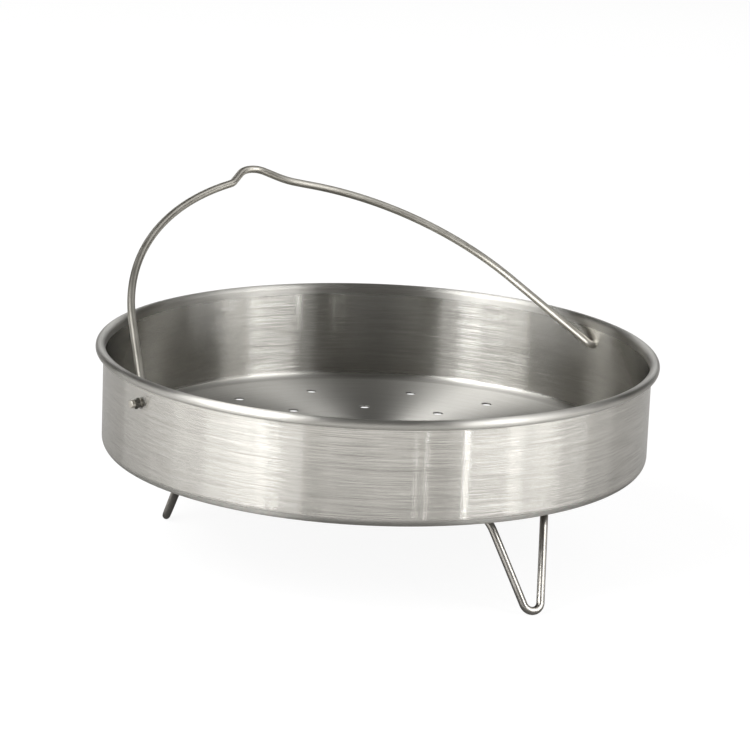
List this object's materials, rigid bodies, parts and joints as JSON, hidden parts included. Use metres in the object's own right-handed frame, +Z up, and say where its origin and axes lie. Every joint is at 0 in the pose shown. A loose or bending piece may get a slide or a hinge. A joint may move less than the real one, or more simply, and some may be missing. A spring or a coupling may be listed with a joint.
{
  "type": "steaming insert",
  "caption": "Round steel steaming insert for a pressure cooker: shallow perforated tray with a rolled rim, swinging wire bail and loose three-legged wire trivet.",
  "frame": {"origin": "on the ground the trivet stands on, under the tray's axis", "axes": "+Z up along the tray's axis, +X along the bail's hinge line, +Y the side the bail leans to"},
  "size_m": [0.2176, 0.216, 0.1281],
  "materials": {
    "brushed_tray_steel": "brushed round the tray's axis",
    "satin_bail_wire": "satin drawn wire",
    "bright_trivet_wire": "bright drawn wire"
  },
  "bodies": {
    "trivet": {"trivet": "bright_trivet_wire"},
    "tray": {"tray": "brushed_tray_steel"},
    "bail": {"bail": "satin_bail_wire"}
  },
  "joints": [
    {"name": "tray_lift", "type": "slide", "parent": "trivet", "child": "tray", "axis": [0, 0, 1], "range_m": [0, 0.12]},
    {"name": "bail_hinge", "type": "hinge", "parent": "tray", "child": "bail", "pos_m": [0, 0, 0.0662], "axis": [1, 0, 0], "range_deg": [-22.7, 141.3]}
  ]
}
